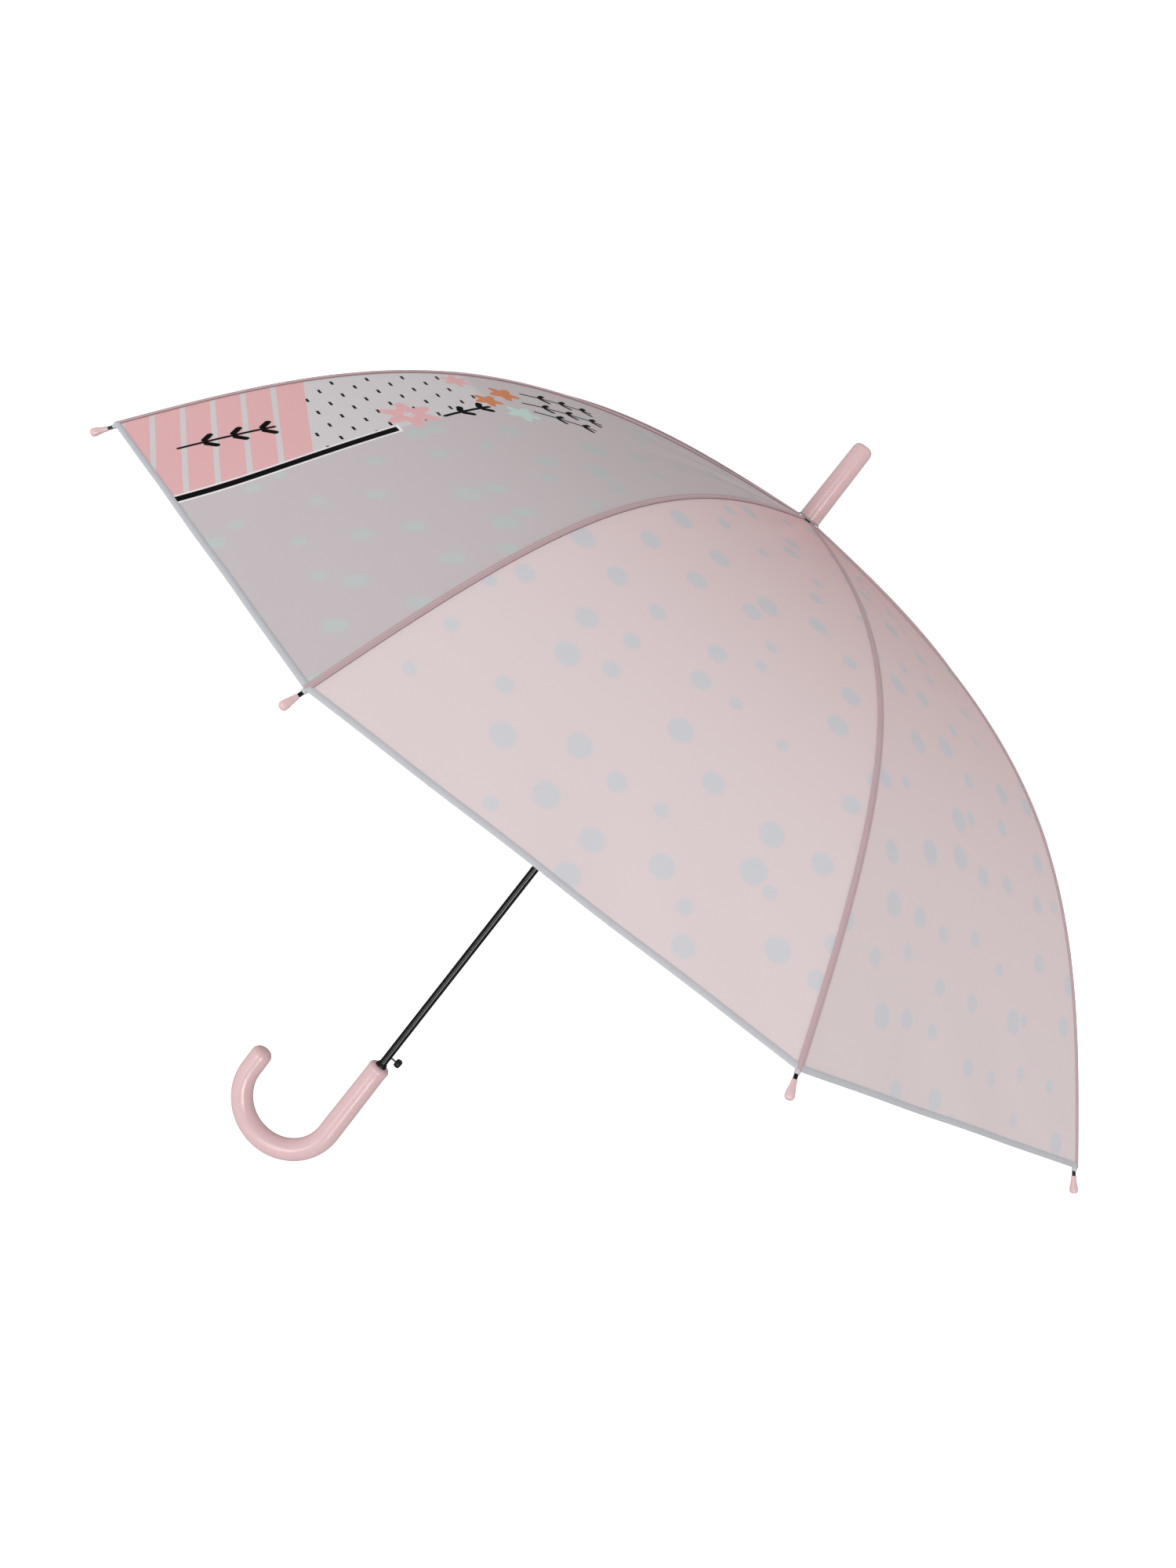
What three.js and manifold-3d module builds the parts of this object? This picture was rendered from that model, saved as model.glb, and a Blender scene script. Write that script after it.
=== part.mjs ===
// Children's stick umbrella with eight ribs, standing upright and open.
// Millimetres, +Z up along the shaft towards the ferrule. The origin is on the shaft's axis,
// in the middle of the straight part of the handle, where a hand holds it.
// The hook of the handle points to -X and the release button is on the +X side.
import * as THREE from "three";
import { mergeVertices } from "three/addons/utils/BufferGeometryUtils.js";
import Module from "manifold-3d";

const wasm = await Module();
wasm.setup();

// ---- driving dimensions -------------------------------------------------------------------
const RIBS = 8;
const RIB_STEP = (2 * Math.PI) / RIBS;
const FIRST_RIB_ANGLE = THREE.MathUtils.degToRad(-151.14); // rib_1, from +X towards +Y
const RIB_LENGTH = 480; // along the film, from the crown to the hem
const CROWN_SLOPE = THREE.MathUtils.degToRad(4.9); // below horizontal, at the crown
const RIB_TURN = THREE.MathUtils.degToRad(45.7); // how much further the rib has bent at the hem
const BEND_PEAK = 0.543; // share of the rib's length where it bends most
const RIM_Z = 328.5; // plane of the eight hem corners
const GAP = 0.3; // between pieces that touch

const FILM = 0.6; // canopy film as a solid
const FILM_HOLE_R = 4.2; // hole at the crown for the shaft
const FLEX_AT = 0.5; // share of the rib where the steel half ends and the rod begins

const RIB_WIDTH = 2.0;
const RIB_HEIGHT = 2.2;
const ROD_R = 1.2;
const ROD_PAST_HEM = 4;
const ROD_IN_TIP = 6;
const TIP_LENGTH = 11;
const TIP_R = 2.6;

const PIVOT_RING_R = 9; // rib ends on the notch, stretcher ends on the runner
const EYE_R = 1.9;
const EYE_HOLE_R = 0.85;
const EYE_DROP = 2.5; // eye centre below the middle of the rib
const WIRE_R = 0.5;
const WIRE_TUNNEL_R = 0.85;
const SLOT_WIDTH = 2.6;
const BRACKET_AT = 0.468; // share of the rib where the stretcher is pinned
const BRACKET_DROP = 6;
const BRACKET_WIDTH = 1.4;
const BRACKET_HALF_LENGTH = 3;
const PIN_R = 0.6;
const CHEEK = 0.8;
const CHEEK_INNER = 1.0;
const CHEEK_LENGTH = 9; // of the fork at the stretcher's outer end

const SHAFT_R = 3;
const SHAFT_BORE_R = 2.4;
const SHAFT_IN_FERRULE = 30;
const SHAFT_IN_HANDLE = 40;
const RUNNER_SLOT_WIDTH = 2.3; // slot along the shaft for the runner's pin
const HANDLE_MOUTH_Z = 34;
const HANDLE_R = 8.4;
const HOOK_R = 38; // centre line of the hook
const HOOK_CENTRE_Z = HANDLE_MOUTH_Z - 68;
const HOOK_RISE = 13; // straight end of the hook
const BUSH_R = 4.4;
const BUSH_HEIGHT = 2.8;
const BUTTON_Z = HANDLE_MOUTH_Z + 10;
const BUTTON_BASE_X = 6.7;
const BUTTON_R = 3.6; // where the knob is widest
const BUTTON_HEIGHT = 4.8;
const BUTTON_STEM_R = 0.9;
const FERRULE_LENGTH = 60;
const FERRULE_R = 7.6; // at the canopy
const FERRULE_END_R = 6.9;
const FERRULE_FLAT_R = 3;
const FERRULE_GAP = 1.8; // from the crown's film to the ferrule, filled by the washer
const WASHER_R = 8.3;
const WASHER_HEIGHT = 1.1;
const NOTCH_R = 12.5;
const NOTCH_UNDER_PIVOT = 7;
const SLOT_FLOOR_R = 6.5; // of the slots in the notch and the runner's head
const HEAD_OVER_PIVOT = 5; // runner's head
const HEAD_UNDER_PIVOT = 3.5;
const RUNNER_SLEEVE = 40;
const SLEEVE_R = 5.4;
const CARRIER_DROP = 20; // from the runner's pivots to the spring carrier
const CARRIER_HALF_LENGTH = 4;
const SPRING_SEAT_Z = RIM_Z - 272;
const SEAT_HOLE_R = 1.2;
const SEAT_THICKNESS = 1.5;

// ---- materials ----------------------------------------------------------------------------
function finish(color, roughness, metalness = 0) {
  return () => new THREE.MeshStandardMaterial({ color, roughness, metalness });
}
const pinkFilm = finish(0xdccfd0, 0.45);
const pinkPlastic = finish(0xdcbcc0, 0.2);
const blackPlastic = finish(0x17171a, 0.35);
const blackPaint = finish(0x0d0d10, 0.2, 0.2);
const blackRod = finish(0x141416, 0.4);
const steel = finish(0x9a9ca0, 0.3, 1);
const chrome = finish(0xd6d8db, 0.12, 1);
const greyWasher = finish(0xb9b4b6, 0.35, 0.2);

// ---- solids -------------------------------------------------------------------------------
function toSolid(geometry) {
  const bare = new THREE.BufferGeometry();
  bare.setAttribute("position", geometry.getAttribute("position"));
  if (geometry.index) bare.setIndex(geometry.index);
  const merged = mergeVertices(bare, 1e-4);
  const vertProperties = new Float32Array(merged.attributes.position.array);
  const triVerts = new Uint32Array(merged.index.array);
  return new wasm.Manifold(new wasm.Mesh({ numProp: 3, vertProperties, triVerts }));
}

function toGeometry(solid) {
  const mesh = solid.getMesh();
  const geometry = new THREE.BufferGeometry();
  geometry.setAttribute("position", new THREE.BufferAttribute(mesh.vertProperties, 3));
  geometry.setIndex(new THREE.BufferAttribute(mesh.triVerts, 1));
  const flat = geometry.toNonIndexed();
  flat.computeVertexNormals();
  return flat;
}

function join(first, ...others) {
  return toGeometry(others.reduce((sum, g) => sum.add(toSolid(g)), toSolid(first)));
}

function cut(first, ...others) {
  return toGeometry(others.reduce((rest, g) => rest.subtract(toSolid(g)), toSolid(first)));
}

function moved(geometry, x, y, z) {
  return geometry.clone().translate(x, y, z);
}

// A turned solid about Z from [radius, height] pairs.
function turned(profile, segments = 16) {
  const points = profile.map(([r, z]) => new THREE.Vector2(r, z));
  return new THREE.LatheGeometry(points, segments).rotateX(Math.PI / 2);
}

// A turned ring whose section is a closed loop of [radius, height] pairs, anticlockwise.
function turnedRing(section, segments = 16) {
  return turned([...section, section[0]], segments);
}

function rectangleLoop(rIn, rOut, zLow, zHigh) {
  return [
    [rIn, zLow],
    [rOut, zLow],
    [rOut, zHigh],
    [rIn, zHigh],
  ];
}

function circleLoop(r, z, radius, sides = 6) {
  return Array.from({ length: sides }, (_, i) => {
    const a = (2 * Math.PI * (i + 0.5)) / sides;
    return [r + radius * Math.cos(a), z + radius * Math.sin(a)];
  });
}

// An outline in the X-Z plane, extruded to the given width across Y.
function plate(outline, width) {
  const shape = new THREE.Shape(outline.map(([x, z]) => new THREE.Vector2(x, z)));
  const body = new THREE.ExtrudeGeometry(shape, { depth: width, bevelEnabled: false, steps: 1 });
  return body.rotateX(Math.PI / 2).translate(0, width / 2, 0);
}

function disc(x, z, radius, sides = 12) {
  return circleLoop(x, z, radius, sides);
}

// A round rod through a list of points.
function rod(points, radius, sides = 8, steps = points.length - 1) {
  const path = new THREE.CatmullRomCurve3(points.map((p) => new THREE.Vector3(...p)));
  const corners = circleLoop(0, 0, radius, sides).map(([x, y]) => new THREE.Vector2(x, y));
  return new THREE.ExtrudeGeometry(new THREE.Shape(corners), {
    steps,
    extrudePath: path,
    bevelEnabled: false,
  });
}

// ---- the line of a rib --------------------------------------------------------------------
// The rib is a flat strip bent by the film's pull: its curvature grows from the crown to
// BEND_PEAK and falls away again to the hem.
const LINE_STEPS = 240;

function slopeAt(s) {
  const turn = s < BEND_PEAK ? (s * s) / BEND_PEAK : 1 - (1 - s) ** 2 / (1 - BEND_PEAK);
  return CROWN_SLOPE + RIB_TURN * turn;
}

function ribLine() {
  const line = [{ r: 0, z: 0 }];
  const step = RIB_LENGTH / LINE_STEPS;
  for (let i = 1; i <= LINE_STEPS; i++) {
    const slope = slopeAt((i - 0.5) / LINE_STEPS);
    const last = line[i - 1];
    line.push({ r: last.r + step * Math.cos(slope), z: last.z - step * Math.sin(slope) });
  }
  return line;
}

const LINE = ribLine();
const CROWN_Z = RIM_Z - LINE[LINE_STEPS].z;

// The point of the rib's plane at share s of the rib, `out` above the film's middle surface.
function onRib(s, out = 0) {
  const at = THREE.MathUtils.clamp(s, 0, 1) * LINE_STEPS;
  const low = Math.min(Math.floor(at), LINE_STEPS - 1);
  const mix = at - low;
  const past = Math.max(s - 1, 0) * RIB_LENGTH;
  const slope = slopeAt(THREE.MathUtils.clamp(s, 0, 1));
  const r = THREE.MathUtils.lerp(LINE[low].r, LINE[low + 1].r, mix) + past * Math.cos(slope);
  const z = THREE.MathUtils.lerp(LINE[low].z, LINE[low + 1].z, mix) - past * Math.sin(slope);
  return [r + out * Math.sin(slope), CROWN_Z + z + out * Math.cos(slope)];
}

const RIB_OUT = -(FILM / 2 + GAP + RIB_HEIGHT / 2); // middle of the rib, under the film

const notchPivot = { x: PIVOT_RING_R, z: onRib(PIVOT_RING_R / RIB_LENGTH, RIB_OUT)[1] - EYE_DROP };
const bracketAt = onRib(BRACKET_AT, RIB_OUT - BRACKET_DROP);
const bracketPivot = { x: bracketAt[0], z: bracketAt[1] };
// The stretcher is as long as the distance from notch to bracket, so the runner's pivot is
// as far below the bracket as the notch's is above it, at every opening angle.
const runnerPivot = { x: PIVOT_RING_R, z: 2 * bracketPivot.z - notchPivot.z };

// ---- pieces of one rib, in the X-Z plane with the shaft's axis at X = 0 --------------------
function shares(from, to, count) {
  return Array.from({ length: count + 1 }, (_, i) => from + ((to - from) * i) / count);
}

// Shares of the rib from one to another, with the bends that strip, rod and film all have.
function bends(from, to) {
  const between = shares(0, 1, 16).filter((s) => s > from + 0.01 && s < to - 0.01);
  return [from, ...between, to];
}

function ribStrip() {
  const half = RIB_HEIGHT / 2;
  const line = bends((PIVOT_RING_R - 1) / RIB_LENGTH, FLEX_AT - GAP / RIB_LENGTH);
  const top = line.map((s) => onRib(s, RIB_OUT + half));
  const bottom = line.map((s) => onRib(s, RIB_OUT - half)).reverse();
  const strip = plate([...bottom, ...top].reverse(), RIB_WIDTH);
  const eye = plate(disc(notchPivot.x, notchPivot.z, EYE_R), RIB_WIDTH);
  const hole = plate(disc(notchPivot.x, notchPivot.z, EYE_HOLE_R, 10), 2 * RIB_WIDTH);
  const tabHalf = BRACKET_HALF_LENGTH / RIB_LENGTH;
  const tab = plate(
    [
      onRib(BRACKET_AT - tabHalf, RIB_OUT),
      onRib(BRACKET_AT + tabHalf, RIB_OUT),
      onRib(BRACKET_AT + tabHalf / 2, RIB_OUT - BRACKET_DROP),
      onRib(BRACKET_AT - tabHalf / 2, RIB_OUT - BRACKET_DROP),
    ].reverse(),
    BRACKET_WIDTH,
  );
  const boss = plate(disc(bracketPivot.x, bracketPivot.z, EYE_R - GAP), BRACKET_WIDTH);
  const pinLength = 2 * (CHEEK_INNER + CHEEK) + 0.2;
  const pin = plate(disc(bracketPivot.x, bracketPivot.z, PIN_R, 10), pinLength);
  return cut(join(strip, eye, tab, boss, pin), hole);
}

function ribRod() {
  const end = 1 + (ROD_PAST_HEM + ROD_IN_TIP) / RIB_LENGTH;
  const line = [...bends(FLEX_AT + GAP / RIB_LENGTH, 1), end];
  const rodOut = RIB_OUT + RIB_HEIGHT / 2 - ROD_R;
  return rod(line.map((s) => [onRib(s, rodOut)[0], 0, onRib(s, rodOut)[1]]), ROD_R, 6);
}

function tipCap() {
  const bore = ROD_R + GAP + 0.1;
  const cap = turned(
    [
      [0, ROD_IN_TIP + 1],
      [bore, ROD_IN_TIP + 1],
      [bore, 0],
      [bore + 0.5, 0],
      [TIP_R - 0.25, TIP_LENGTH * 0.4],
      [TIP_R, TIP_LENGTH * 0.65],
      [TIP_R * 0.8, TIP_LENGTH * 0.88],
      [0, TIP_LENGTH],
    ],
    10,
  );
  const start = onRib(1 + ROD_PAST_HEM / RIB_LENGTH, RIB_OUT + RIB_HEIGHT / 2 - ROD_R);
  return cap.rotateY(Math.PI / 2 + slopeAt(1)).translate(start[0], 0, start[1]);
}

function stretcherBar() {
  const dx = bracketPivot.x - runnerPivot.x;
  const dz = bracketPivot.z - runnerPivot.z;
  const length = Math.hypot(dx, dz);
  const half = RIB_WIDTH / 2;
  const barEnd = length - CHEEK_LENGTH / 2;
  const bar = plate(
    [
      [0, -half],
      [barEnd, -half],
      [barEnd, half],
      [0, half],
    ],
    2 * CHEEK_INNER + 0.2,
  );
  const eye = plate(disc(0, 0, EYE_R), RIB_WIDTH);
  const hole = plate(disc(0, 0, EYE_HOLE_R, 10), 2 * RIB_WIDTH);
  const cheek = cut(
    join(
      plate(
        [
          [length - CHEEK_LENGTH, -half],
          [length, -half - 0.4],
          [length, half + 0.4],
          [length - CHEEK_LENGTH, half],
        ],
        CHEEK,
      ),
      plate(disc(length, 0, EYE_R - GAP), CHEEK),
    ),
    plate(disc(length, 0, EYE_HOLE_R + 0.05, 10), 2),
  );
  const side = CHEEK_INNER + CHEEK / 2;
  const bars = cut(join(bar, eye, moved(cheek, 0, side, 0), moved(cheek, 0, -side, 0)), hole);
  return bars.rotateY(-Math.atan2(dz, dx)).translate(runnerPivot.x, 0, runnerPivot.z);
}

// One rib's share of the film: from the middle of one gore, over the rib, to the middle of
// the next, straight across from rib to rib.
function filmPanel(from, to) {
  const half = RIB_STEP / 2;
  const line = bends(from + GAP / 2 / RIB_LENGTH, to - GAP / 2 / RIB_LENGTH);
  const count = line.length - 1;
  const station = (s, out) => {
    const [r, z] = onRib(s, out);
    const across = r * Math.sin(half) * Math.cos(half) - GAP / 2;
    const inward = r - (r * Math.sin(half) - GAP / 2) * Math.sin(half);
    return [
      [inward, -across, z],
      [r, 0, z],
      [inward, across, z],
    ];
  };
  const rows = line.map((s) => [...station(s, FILM / 2), ...station(s, -FILM / 2).reverse()]);
  const index = [];
  const around = 6;
  for (let i = 0; i < count; i++)
    for (let j = 0; j < around; j++) {
      const a = i * around + j;
      const b = i * around + ((j + 1) % around);
      index.push(a, a + around, b, b, a + around, b + around);
    }
  const cap = (base) => [
    [base, base + 1, base + 5],
    [base + 5, base + 1, base + 4],
    [base + 4, base + 1, base + 2],
    [base + 4, base + 2, base + 3],
  ];
  cap(0).forEach((t) => index.push(...t));
  cap(count * around).forEach(([a, b, c]) => index.push(a, c, b));
  const geometry = new THREE.BufferGeometry();
  geometry.setAttribute("position", new THREE.Float32BufferAttribute(rows.flat(2), 3));
  geometry.setIndex(index);
  return geometry;
}

// ---- pieces on the shaft ------------------------------------------------------------------
// The notch and the runner's head are the same slotted wheel. Its slots hold the rib or
// stretcher ends, and a wire ring through their eyes runs in a tunnel at the pivots' height.
function slottedWheel(zPivot, zLow, zHigh, slotLow, slotHigh) {
  const bore = SHAFT_R + GAP;
  const wheel = turnedRing(rectangleLoop(bore, NOTCH_R, zLow, zHigh), 24);
  const slot = new THREE.BoxGeometry(NOTCH_R, SLOT_WIDTH, slotHigh - slotLow);
  const slots = Array.from({ length: RIBS }, (_, i) =>
    moved(slot, SLOT_FLOOR_R + NOTCH_R / 2, 0, (slotLow + slotHigh) / 2).rotateZ(
      FIRST_RIB_ANGLE + i * RIB_STEP,
    ),
  );
  return cut(wheel, wireRing(zPivot, WIRE_TUNNEL_R), ...slots);
}

// An eight-sided ring of wire: each straight side is the pivot of one rib or stretcher.
function wireRing(z, radius) {
  const cornerR = PIVOT_RING_R / Math.cos(RIB_STEP / 2);
  const ring = turnedRing(circleLoop(cornerR, z, radius), RIBS);
  const firstCorner = Math.PI / 2 + RIB_STEP / 2;
  return ring.rotateZ(FIRST_RIB_ANGLE + firstCorner);
}

function crownNotch() {
  const top = CROWN_Z - 2;
  const z = notchPivot.z;
  const low = z - NOTCH_UNDER_PIVOT;
  return slottedWheel(z, low, top, low - 1, top + 1);
}

function runnerBody() {
  const z = runnerPivot.z;
  const low = z - HEAD_UNDER_PIVOT;
  const top = z + HEAD_OVER_PIVOT;
  const head = slottedWheel(z, low, top, low + 1.3, top + 1);
  const sleeve = turnedRing(
    [
      [SHAFT_R + GAP, z - RUNNER_SLEEVE],
      [SLEEVE_R, z - RUNNER_SLEEVE],
      [SLEEVE_R, low - 6.5],
      [NOTCH_R - 4, low + 0.5],
      [SHAFT_R + GAP, low + 0.5],
    ],
    24,
  );
  const pinHole = new THREE.CylinderGeometry(1.1, 1.1, 8, 10).translate(0, 6, z - CARRIER_DROP);
  return cut(join(head, sleeve), pinHole);
}

// The slug that the opening spring pushes up inside the shaft, with the pin that reaches
// through the shaft's slot into the runner.
function springCarrier() {
  const z = runnerPivot.z - CARRIER_DROP;
  const slugR = SHAFT_BORE_R - 0.4;
  const slug = turned(
    [
      [0, z - CARRIER_HALF_LENGTH],
      [slugR, z - CARRIER_HALF_LENGTH],
      [slugR, z + CARRIER_HALF_LENGTH],
      [0, z + CARRIER_HALF_LENGTH],
    ],
    10,
  );
  const pin = new THREE.CylinderGeometry(0.75, 0.75, 4, 8).translate(0, 2.7, z);
  return join(slug, pin);
}

function openingSpring() {
  const wireR = 0.35;
  const low = SPRING_SEAT_Z + 1.2;
  const high = runnerPivot.z - CARRIER_DROP - CARRIER_HALF_LENGTH - 2 * GAP - 0.1;
  const turns = 12;
  const perTurn = 8;
  const coilR = 1.7;
  const points = Array.from({ length: turns * perTurn + 1 }, (_, i) => {
    const a = (2 * Math.PI * i) / perTurn;
    return [coilR * Math.cos(a), coilR * Math.sin(a), low + ((high - low) * i) / (turns * perTurn)];
  });
  return rod(points, wireR, 4);
}

function shaftTube() {
  const low = HANDLE_MOUTH_Z - SHAFT_IN_HANDLE;
  const high = CROWN_Z + SHAFT_IN_FERRULE;
  const tube = turnedRing(
    [
      [SHAFT_BORE_R, low],
      [SHAFT_R, low],
      [SHAFT_R, high],
      [SHAFT_BORE_R, high],
      [SHAFT_BORE_R, SPRING_SEAT_Z],
      [SEAT_HOLE_R, SPRING_SEAT_Z],
      [SEAT_HOLE_R, SPRING_SEAT_Z - SEAT_THICKNESS],
      [SHAFT_BORE_R, SPRING_SEAT_Z - SEAT_THICKNESS],
    ],
    16,
  );
  const slotLow = SPRING_SEAT_Z + 6;
  const slotHigh = runnerPivot.z - CARRIER_DROP + CARRIER_HALF_LENGTH;
  const slot = new THREE.BoxGeometry(RUNNER_SLOT_WIDTH, SHAFT_R, slotHigh - slotLow);
  const holeR = BUTTON_STEM_R + 0.4;
  const buttonHole = new THREE.CylinderGeometry(holeR, holeR, 4, 10).rotateZ(Math.PI / 2);
  return cut(
    tube,
    moved(slot, 0, SHAFT_R, (slotLow + slotHigh) / 2),
    moved(buttonHole, SHAFT_R + 0.5, 0, BUTTON_Z),
  );
}

function ferrule() {
  const base = CROWN_Z + FERRULE_GAP;
  const end = base + FERRULE_LENGTH;
  return turned(
    [
      [0, CROWN_Z + SHAFT_IN_FERRULE + 1],
      [SHAFT_R + GAP, CROWN_Z + SHAFT_IN_FERRULE + 1],
      [SHAFT_R + GAP, base],
      [FERRULE_R, base],
      [FERRULE_END_R, end - 8],
      [FERRULE_END_R - 0.6, end - 3.4],
      [FERRULE_END_R - 2, end - 1.2],
      [FERRULE_FLAT_R, end],
      [0, end],
    ],
    20,
  );
}

function crownWasher() {
  const low = CROWN_Z + FILM / 2 + 0.1;
  return turnedRing(rectangleLoop(SHAFT_R + GAP, WASHER_R, low, low + WASHER_HEIGHT), 20);
}

function hookedHandle() {
  const hookTurn = shares(0, Math.PI, 12).map((a) => [
    -HOOK_R + HOOK_R * Math.cos(a),
    0,
    HOOK_CENTRE_Z - HOOK_R * Math.sin(a),
  ]);
  const end = [-2 * HOOK_R, 0, HOOK_CENTRE_Z + HOOK_RISE];
  const grip = [
    [0, 0, HANDLE_MOUTH_Z],
    [0, 0, HANDLE_MOUTH_Z - 20],
    [0, 0, HOOK_CENTRE_Z + 15],
  ];
  const bar = rod([...grip, ...hookTurn, end], HANDLE_R, 12, 28);
  const ball = new THREE.SphereGeometry(HANDLE_R, 12, 8).translate(...end);
  const bore = new THREE.CylinderGeometry(SHAFT_R + GAP, SHAFT_R + GAP, 2 * SHAFT_IN_HANDLE + 1, 16)
    .rotateX(Math.PI / 2)
    .translate(0, 0, HANDLE_MOUTH_Z);
  return cut(join(bar, ball), bore);
}

function handleBush() {
  const z = HANDLE_MOUTH_Z + GAP;
  return turnedRing(
    [
      [SHAFT_R + GAP, z],
      [BUSH_R, z],
      [BUSH_R - 0.7, z + BUSH_HEIGHT],
      [SHAFT_R + GAP, z + BUSH_HEIGHT],
    ],
    20,
  );
}

function pushButton() {
  const knob = turned(
    [
      [0, 0],
      [BUTTON_R * 0.8, 0],
      [BUTTON_R, BUTTON_HEIGHT * 0.55],
      [BUTTON_R * 0.9, BUTTON_HEIGHT * 0.85],
      [BUTTON_R * 0.6, BUTTON_HEIGHT],
      [0, BUTTON_HEIGHT],
    ],
    14,
  );
  const inKnob = 1;
  const stemLength = BUTTON_BASE_X + inKnob - 0.6;
  const stem = new THREE.CylinderGeometry(BUTTON_STEM_R, BUTTON_STEM_R, stemLength, 10)
    .rotateX(Math.PI / 2)
    .translate(0, 0, inKnob - stemLength / 2);
  return join(knob, stem).rotateY(Math.PI / 2).translate(BUTTON_BASE_X, 0, BUTTON_Z);
}

// ---- assembly -----------------------------------------------------------------------------
const umbrella = new THREE.Group();

function add(parent, name, geometry, material) {
  const mesh = new THREE.Mesh(geometry, material());
  mesh.name = name;
  parent.add(mesh);
}

add(umbrella, "shaft_tube", shaftTube(), blackPaint);
add(umbrella, "handle", hookedHandle(), pinkPlastic);
add(umbrella, "handle_bush", handleBush(), blackPlastic);
add(umbrella, "ferrule", ferrule(), pinkPlastic);
add(umbrella, "crown_washer", crownWasher(), greyWasher);
add(umbrella, "crown_notch", crownNotch(), blackPlastic);
add(umbrella, "notch_wire", wireRing(notchPivot.z, WIRE_R), steel);
add(umbrella, "opening_spring", openingSpring(), steel);
add(umbrella, "spring_carrier", springCarrier(), chrome);
add(umbrella, "push_button", pushButton(), blackPlastic);
add(umbrella, "runner", runnerBody(), blackPlastic);
add(umbrella, "runner_wire", wireRing(runnerPivot.z, WIRE_R), steel);

const strip = ribStrip();
const ribEnd = ribRod();
const stretcher = stretcherBar();
const cap = tipCap();
const filmUpper = filmPanel(FILM_HOLE_R / RIB_LENGTH, FLEX_AT);
const filmLower = filmPanel(FLEX_AT, 1);

for (let i = 0; i < RIBS; i++) {
  const spoke = new THREE.Group();
  spoke.rotation.z = FIRST_RIB_ANGLE + i * RIB_STEP;
  umbrella.add(spoke);
  const number = i + 1;
  add(spoke, `rib_${number}`, strip, blackPaint);
  add(spoke, `rib_end_${number}`, ribEnd, blackRod);
  add(spoke, `stretcher_${number}`, stretcher, blackPaint);
  add(spoke, `tip_${number}`, cap, pinkPlastic);
  add(spoke, `canopy_upper_${number}`, filmUpper, pinkFilm);
  add(spoke, `canopy_lower_${number}`, filmLower, pinkFilm);
}

export default umbrella;
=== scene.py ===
"""A children's stick umbrella, open, with its crook handle hanging down.

Every piece is in metres in the frame of the CAD model: +Z up along the shaft, the origin on the
shaft's axis in the middle of the grip, the hook towards -X and the release button on +X.
"""
import math

import bpy
from mathutils import Matrix, Vector


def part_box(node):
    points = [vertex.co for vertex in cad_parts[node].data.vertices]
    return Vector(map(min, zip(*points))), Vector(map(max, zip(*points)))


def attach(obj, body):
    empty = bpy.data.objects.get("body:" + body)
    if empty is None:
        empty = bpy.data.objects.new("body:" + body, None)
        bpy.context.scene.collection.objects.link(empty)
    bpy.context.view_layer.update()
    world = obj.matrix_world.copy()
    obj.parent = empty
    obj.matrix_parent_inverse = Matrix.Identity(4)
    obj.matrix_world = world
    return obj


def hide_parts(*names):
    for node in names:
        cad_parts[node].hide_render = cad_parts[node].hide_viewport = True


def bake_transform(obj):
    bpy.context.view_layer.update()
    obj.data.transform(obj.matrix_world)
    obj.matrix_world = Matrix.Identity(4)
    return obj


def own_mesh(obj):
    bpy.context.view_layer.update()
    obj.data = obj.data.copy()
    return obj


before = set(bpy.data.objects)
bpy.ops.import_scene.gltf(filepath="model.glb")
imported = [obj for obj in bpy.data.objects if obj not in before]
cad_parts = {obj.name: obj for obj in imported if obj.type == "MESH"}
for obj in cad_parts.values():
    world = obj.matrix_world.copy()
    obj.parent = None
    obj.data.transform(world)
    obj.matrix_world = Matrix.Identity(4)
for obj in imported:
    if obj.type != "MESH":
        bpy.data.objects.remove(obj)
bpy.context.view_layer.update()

# ---- the CAD model's driving dimensions, in metres --------------------------------------------
MM = 0.001
RIBS = 8
RIB_STEP = 2 * math.pi / RIBS
FIRST_RIB_ANGLE = math.radians(-151.14)
RIB_LENGTH = 480 * MM
CROWN_SLOPE = math.radians(4.9)
RIB_TURN = math.radians(45.7)
BEND_PEAK = 0.543  # share of the rib at which it bends the most
FILM_HOLE_R = 4.2 * MM
FLEX_AT = 0.5  # share of the rib at which the steel half meets the springy half
ROD_UNDER_FILM = 1.8 * MM
ROD_PAST_HEM = 4 * MM
TIP_GAP = 0.3 * MM
WASHER_OVER_FILM = 0.4 * MM
BUSH_OVER_MOUTH = 0.3 * MM
CROWN_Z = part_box("crown_washer")[0][2] - WASHER_OVER_FILM
MOUTH_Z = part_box("handle_bush")[0][2] - BUSH_OVER_MOUTH
SHAFT_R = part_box("shaft_tube")[1][0]
FERRULE_LOW, FERRULE_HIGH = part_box("ferrule")
HOOK_R = 38 * MM
HOOK_CENTRE_Z = MOUTH_Z - 68 * MM
HOOK_RISE = 13 * MM
BUTTON_LOW, BUTTON_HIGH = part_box("push_button")


# ---- where the ribs run -----------------------------------------------------------------------
def slope_at(s):
    """How far the rib slopes down at share s of its length, in radians."""
    if s < BEND_PEAK:
        turned = s * s / BEND_PEAK
    else:
        turned = 1 - (1 - s) ** 2 / (1 - BEND_PEAK)
    return CROWN_SLOPE + RIB_TURN * turned


def rib_line(steps=240):
    """Radius and height of the film along a rib, at even steps from the crown to the hem."""
    step = RIB_LENGTH / steps
    line = [(0.0, CROWN_Z)]
    for i in range(steps):
        angle = slope_at((i + 0.5) / steps)
        r, z = line[-1]
        line.append((r + step * math.cos(angle), z - step * math.sin(angle)))
    return line


RIB_LINE = rib_line()


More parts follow.
